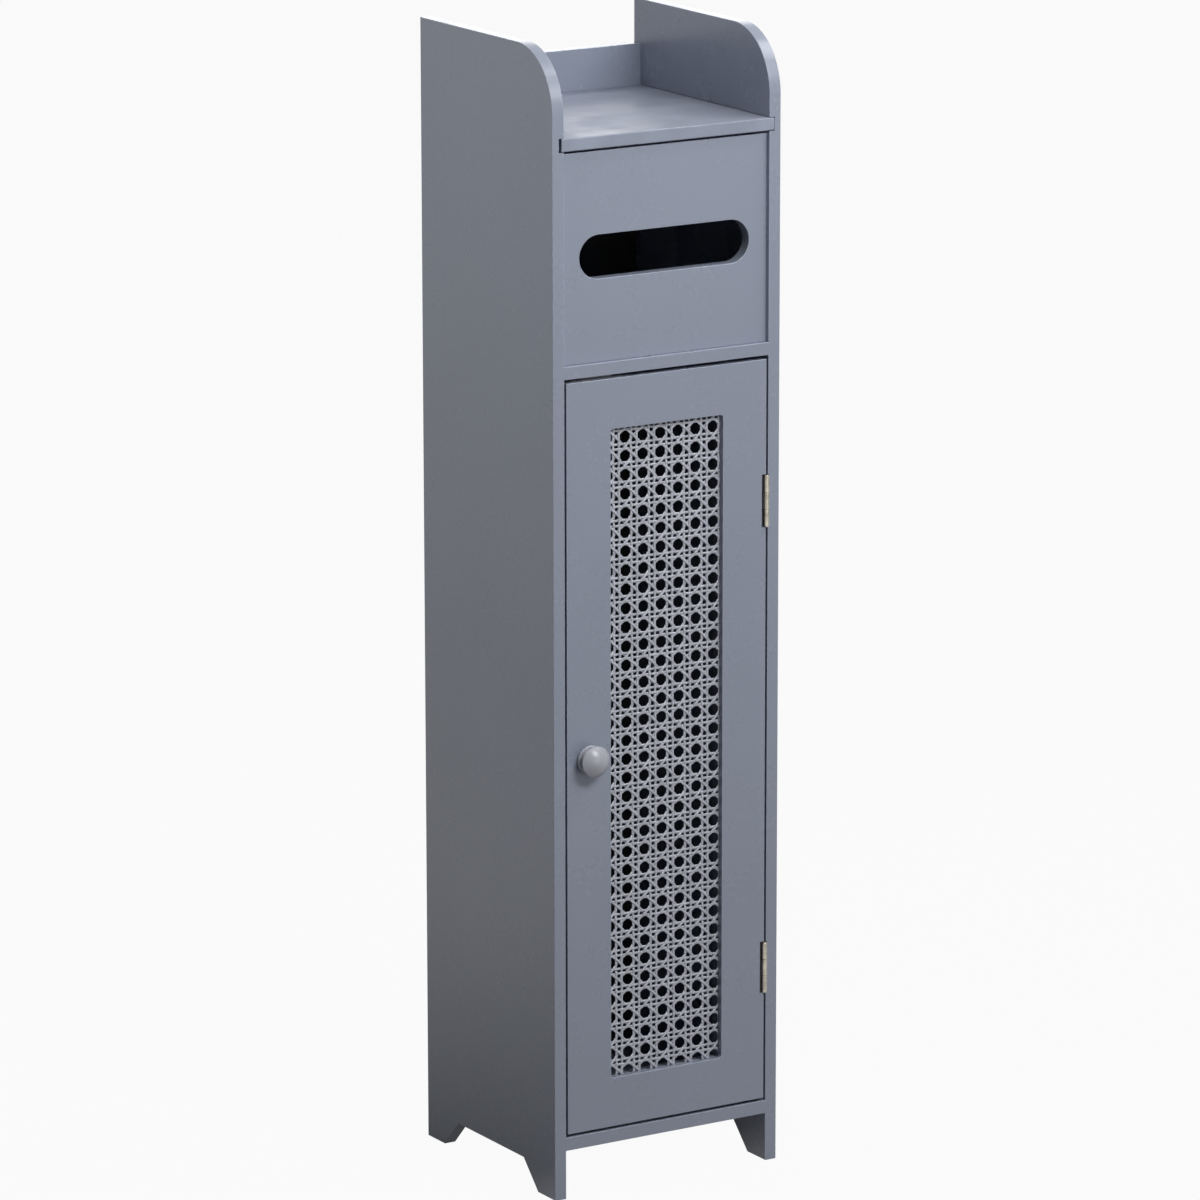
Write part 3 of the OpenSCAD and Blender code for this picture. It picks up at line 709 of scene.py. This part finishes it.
def weave_points(start, end, height, seed):
    """Points from start to end in (x, z); height(p) gives how far the strand stands out."""
    start, end = Vector(start), Vector(end)
    count = max(2, int((end - start).length / STRAND_STEP))
    points = []
    for i in range(count + 1):
        flat = start.lerp(end, i / count)
        x, z = warp(flat.x, flat.y, seed)
        points.append(Vector((min(max(x, cane_lo.x + SHEET_MARGIN), cane_hi.x - SHEET_MARGIN),
                              cane_mid_y - height(flat),
                              min(max(z, cane_lo.z + SHEET_MARGIN), cane_hi.z - SHEET_MARGIN))))
    return points


def straight_height(t, side, half):
    """Height of a straight strand at t, in pitches along it: over one strand of each pair that
    it crosses and under the other. side is -1 or 1 and half is half the pair's spacing."""
    near = (t - 0.5) % 1.0
    offset = near if near < 0.5 else near - 1.0
    if abs(offset) > WEAVE_REACH * half:
        return 0.0
    rise = math.sin(math.pi / 2 * max(-1, min(1, offset / half)))
    if abs(offset) >= half:
        rise *= math.cos(math.pi / 2 * (abs(offset) / half - 1) / (WEAVE_REACH - 1))
    return side * WEAVE * rise


def upright_height(p, side):
    """Height of an upright at the even pattern's point p, in (x, z)."""
    return straight_height((p.y - cane_cz) / PITCH_Z, side, CROSS_HALF / PITCH_Z)


def crosspiece_height(p, side):
    """Height of a crosspiece at p; its sign makes the weave plain."""
    return -straight_height((p.x - cane_cx) / PITCH_X, side, UPRIGHT_HALF / PITCH_X)


def diagonal_height(p, side):
    """One family goes over the uprights and under the crosspieces, the other the other way."""
    return side * DIAGONAL_RISE * math.cos(2 * math.pi * (p.x - cane_cx) / PITCH_X)


def straight_strands(lo_x, hi_x, lo_z, hi_z):
    """Uprights and crosspieces, in pairs: start, end, height, side and width of each."""
    strands = []
    columns = math.ceil((hi_x - lo_x) / PITCH_X)
    rows = math.ceil((hi_z - lo_z) / PITCH_Z)
    for i in range(-columns, columns):
        for side in (-1, 1):
            x = cane_cx + (i + 0.5) * PITCH_X + side * UPRIGHT_HALF
            if lo_x < x < hi_x:
                strands.append(((x, lo_z), (x, hi_z), upright_height, side, UPRIGHT_W))
    for i in range(-rows, rows):
        for side in (-1, 1):
            z = cane_cz + (i + 0.5) * PITCH_Z + side * CROSS_HALF
            if lo_z < z < hi_z:
                strands.append(((lo_x, z), (hi_x, z), crosspiece_height, side, CROSS_W))
    return strands


def clip_height(start, end, lo_z, hi_z):
    """The part of a line in (x, z) that lies between two heights, or None."""
    (x0, z0), (x1, z1) = start, end
    clipped = []
    for x, z in (start, end):
        limit = min(max(z, lo_z), hi_z)
        if limit != z:
            if (z0 - limit) * (z1 - limit) >= 0:
                return None
            x = x0 + (x1 - x0) * (limit - z0) / (z1 - z0)
        clipped.append((x, limit))
    return clipped


def diagonal_strands(lo_x, hi_x, lo_z, hi_z):
    """Diagonals, which pass midway between the crossings of the pairs, as in straight_strands."""
    strands = []
    count = math.ceil((hi_x - lo_x) / PITCH_X + (hi_z - lo_z) / PITCH_Z)
    for side in (-1, 1):
        for k in range(-count, count):
            ends = [(x, cane_cz + (side * (x - cane_cx) / PITCH_X + k + 0.5) * PITCH_Z)
                    for x in (lo_x, hi_x)]
            clipped = clip_height(*ends, lo_z, hi_z)
            if clipped and (Vector(clipped[0]) - Vector(clipped[1])).length >= SHORTEST:
                strands.append((*clipped, diagonal_height, side, DIAGONAL_W))
    return strands


def woven_cane():
    """Pairs of uprights and crosspieces in plain weave, and two diagonals through them."""
    bm = bmesh.new()
    uv_layer = bm.loops.layers.uv.new("strand")
    limits = (cane_lo.x + STRAND_END, cane_hi.x - STRAND_END,
              cane_lo.z + STRAND_END, cane_hi.z - STRAND_END)
    strands = straight_strands(*limits) + diagonal_strands(*limits)
    for seed, (start, end, height, side, width) in enumerate(strands, 1):
        points = weave_points(start, end, lambda p: height(p, side), seed)
        strand_mesh(bm, uv_layer, points, width, seed)
    bmesh.ops.recalc_face_normals(bm, faces=bm.faces)
    return make_object("woven_cane", bm, cane_paint)


dress(woven_cane(), "door", "cane_panel")


# ---- Knob ----

def lathe(name, profile, centre, material, steps=64):
    """Turns (radius, reach) points round an axis along -Y from centre."""
    bm = bmesh.new()
    rings = []
    for r, reach in profile:
        if r < 1e-7:
            rings.append([bm.verts.new((centre[0], centre[1] - reach, centre[2]))])
            continue
        ring = []
        for i in range(steps):
            a = 2 * math.pi * i / steps
            ring.append(bm.verts.new((centre[0] + r * math.cos(a), centre[1] - reach,
                                      centre[2] + r * math.sin(a))))
        rings.append(ring)
    for a, b in zip(rings, rings[1:]):
        for i in range(steps):
            j = (i + 1) % steps
            if len(a) == 1:
                bm.faces.new((a[0], b[j], b[i]))
            elif len(b) == 1:
                bm.faces.new((a[i], a[j], b[0]))
            else:
                bm.faces.new((a[i], a[j], b[j], b[i]))
    bmesh.ops.recalc_face_normals(bm, faces=bm.faces)
    return make_object(name, bm, material)


def knob():
    """The turned knob: a flat base, a waist and a cap with a rounded rim and a low dome."""
    reach = knob_hi.y - knob_lo.y
    cap_r = (knob_hi.x - knob_lo.x) / 2
    base_r = 10 * MM
    base_t = 2.6 * MM
    neck_r = 6.6 * MM
    rim_y = 8.8 * MM                 # from the door to the cap's widest ring
    rim_r = 0.9 * MM
    dome_steps = 16
    profile = [(0, 0)]
    profile += arc((base_r - base_t / 2, base_t / 2), base_t / 2, -90, 90, 10)
    # The waist, from the top of the base to the underside of the cap
    profile += [(neck_r + 0.9 * MM, base_t + 0.1 * MM), (neck_r + 0.1 * MM, base_t + 0.7 * MM),
                (neck_r, base_t + 1.5 * MM), (neck_r + 0.4 * MM, rim_y - 2.4 * MM),
                (neck_r + 1.6 * MM, rim_y - 1.6 * MM), (cap_r - 1.6 * MM, rim_y - 1.0 * MM)]
    profile += arc((cap_r - rim_r, rim_y), rim_r, -70, 55, 10)
    edge_r, edge_y = profile[-1]
    dome_h = reach - edge_y
    for i in range(1, dome_steps):
        t = i / dome_steps
        profile.append((edge_r * (1 - t), edge_y + dome_h * (1 - (1 - t) ** 2)))
    profile.append((0, reach))
    centre = ((knob_lo.x + knob_hi.x) / 2, knob_hi.y, (knob_lo.z + knob_hi.z) / 2)
    obj = lathe("turned_knob", profile, centre, paint_knob)
    smooth(obj, 50)
    return obj


dress(knob(), "door", "door_knob")


# ---- Solids that keep their shape and take a finish ----

def finish_node(node, material, radius=0.0):
    """Gives a solid its finish and, where it shows, slightly rounded edges."""
    obj = frame["nodes"][node]
    obj.data.materials.clear()
    obj.data.materials.append(material)
    if radius:
        weld = obj.modifiers.new("weld", "WELD")
        weld.merge_threshold = 1e-6
        bevel = obj.modifiers.new("edges", "BEVEL")
        bevel.width = radius
        bevel.segments = 2
        bevel.limit_method = "ANGLE"
        bevel.angle_limit = math.radians(40)
        weight_normals(obj, False)


for node_name in ("bottom_shelf_dowels", "divider_shelf_dowels", "front_panel_dowels",
                  "back_rail_dowels"):
    finish_node(node_name, beech)
for node_name in ("back_panel_nails", "cane_bead_pins", "knob_screw", "catch_screws",
                  "strike_plate", "strike_screw"):
    finish_node(node_name, zinc)
for hinge in ("upper", "lower"):
    for part in ("frame_leaf", "door_leaf", "pin"):
        finish_node(f"{hinge}_hinge_{part}", nickel, 0.2 * MM)
for node_name in ("hinge_frame_screws", "hinge_door_screws"):
    finish_node(node_name, nickel)
finish_node("catch_body", catch_white, 0.3 * MM)
finish_node("catch_magnet", ferrite)


# ---- Floor, light and camera ----

FLOOR_HALF = 6.0
WHITE = 0.95                     # share of white in the floor and the background that are seen


def outside_painted_shadow(nodes, links):
    """How white the floor looks in reflections, with a painted shadow: dark under and behind the
    cabinet, full in front of it and some way off."""
    where = object_coords(nodes, links)
    away = nodes.new("ShaderNodeVectorMath")
    away.operation = "LENGTH"
    links.new(where, away.inputs[0])
    far = remap(nodes, links, away.outputs["Value"], (-0.1, 0.7))
    in_front = remap(nodes, links, component(nodes, links, where, "Y"),
                     (FRONT_Y - 0.02, FRONT_Y + 0.1), (1, 0))
    return combine(nodes, links, "MAXIMUM", far, in_front)


def white_floor(nodes, links, lit):
    """Mixes plain white into what the camera, mirrors and glass see of the lit floor; mirrors and
    glass see less of it in the painted shadow under and behind the cabinet.
    """
    rays = nodes.new("ShaderNodeLightPath").outputs
    reflected = combine(nodes, links, "ADD", rays["Is Glossy Ray"], rays["Is Transmission Ray"],
                        clamp=True)
    reflected = combine(nodes, links, "MULTIPLY", reflected, outside_painted_shadow(nodes, links))
    seen = combine(nodes, links, "ADD", rays["Is Camera Ray"], reflected, clamp=True)
    white = nodes.new("ShaderNodeEmission")
    white.inputs["Color"].default_value = (1, 1, 1, 1)
    return mix_shaders(nodes, links, combine(nodes, links, "MULTIPLY", seen, WHITE), lit,
                       white.outputs[0])


def floor():
    """A wide pale floor at z = 0."""
    bm = bmesh.new()
    bm.faces.new([bm.verts.new((x * FLOOR_HALF, y * FLOOR_HALF, 0))
                  for x, y in ((-1, -1), (1, -1), (1, 1), (-1, 1))])
    mat, nodes, links, shader = node_material("pale_floor")
    shader.inputs["Base Color"].default_value = (0.2, 0.2, 0.2, 1)
    shader.inputs["Roughness"].default_value = 0.9
    shader.inputs["Specular IOR Level"].default_value = 0.0
    links.new(white_floor(nodes, links, shader.outputs[0]),
              nodes["Material Output"].inputs["Surface"])
    make_object("floor", bm, mat)


def world(ambient):
    """Faint even light; the camera, mirrors and glass see plain white instead."""
    studio = bpy.data.worlds.new("studio")
    bpy.context.scene.world = studio
    studio.use_nodes = True
    nodes, links = studio.node_tree.nodes, studio.node_tree.links
    lit = nodes["Background"]
    lit.inputs["Color"].default_value = (1, 1, 1, 1)
    lit.inputs["Strength"].default_value = ambient
    white = nodes.new("ShaderNodeBackground")
    white.inputs["Color"].default_value = (WHITE, WHITE, WHITE, 1)
    white.inputs["Strength"].default_value = 1.0
    rays = nodes.new("ShaderNodeLightPath").outputs
    reflected = combine(nodes, links, "MAXIMUM", rays["Is Glossy Ray"], rays["Is Transmission Ray"])
    seen = combine(nodes, links, "MAXIMUM", rays["Is Camera Ray"], reflected)
    links.new(mix_shaders(nodes, links, seen, lit.outputs[0], white.outputs[0]),
              nodes["World Output"].inputs["Surface"])


def toward(azimuth, elevation):
    """Unit vector to an azimuth, with 0 in front and 90 on the right, and an elevation."""
    a, e = math.radians(azimuth), math.radians(elevation)
    return Vector((math.sin(a) * math.cos(e), -math.cos(a) * math.cos(e), math.sin(e)))


def softbox(name, azimuth, elevation, distance, size, watts, aim_z=0.5):
    """A square lamp that looks at the cabinet's middle line, at the height aim_z."""
    lamp = bpy.data.lights.new(name, "AREA")
    lamp.shape = "SQUARE"
    lamp.size = size
    lamp.energy = watts
    obj = bpy.data.objects.new(name, lamp)
    back = toward(azimuth, elevation)
    obj.location = Vector((0, 0, aim_z)) + back * distance
    obj.rotation_euler = back.to_track_quat("Z", "Y").to_euler()
    bpy.context.scene.collection.objects.link(obj)


CAMERA_AZIMUTH = -31.5683
CAMERA_ELEVATION = 13.4618
CAMERA_ROLL = -0.0701
CAMERA_DISTANCE = 4.76704
CAMERA_AIM = Vector((-0.0083, -0.00577, 0.40047))
CAMERA_LENS = 207.126            # mm, on a 36 mm sensor


def camera():
    """The camera of the photograph."""
    data = bpy.data.cameras.new("camera")
    data.lens = CAMERA_LENS
    data.sensor_width = 36
    data.clip_end = 50
    obj = bpy.data.objects.new("camera", data)
    a = math.radians(CAMERA_AZIMUTH)
    back = toward(CAMERA_AZIMUTH, CAMERA_ELEVATION)
    right = Vector((math.cos(a), math.sin(a), 0))
    up = back.cross(right)
    turn = Matrix((right, up, back)).transposed().to_4x4()
    obj.matrix_world = (Matrix.Translation(CAMERA_AIM + back * CAMERA_DISTANCE) @ turn
                        @ Matrix.Rotation(math.radians(CAMERA_ROLL), 4, "Z"))
    bpy.context.scene.collection.objects.link(obj)
    bpy.context.scene.camera = obj


floor()
world(ambient=0.05)
# Name, azimuth, elevation, distance, size and watts of each lamp
softbox("key", 5, 36, 1.5, 0.45, 10.0)
softbox("right", 25, 36, 1.6, 0.53, 4.5)
softbox("low", 4, 8, 2.2, 1.0, 7.2, aim_z=0.1)
softbox("high", 65, 52, 1.3, 0.5, 5.0, aim_z=0.6)
softbox("overhead", 180, 65, 1.3, 1.0, 5.8, aim_z=0.8)
softbox("side", -90, 16, 0.7, 0.4, 1.4, aim_z=0.7)
softbox("backdrop", 148, 17, 2.5, 1.3, 9.0, aim_z=0.75)
camera()
bpy.context.scene.view_settings.view_transform = "Standard"
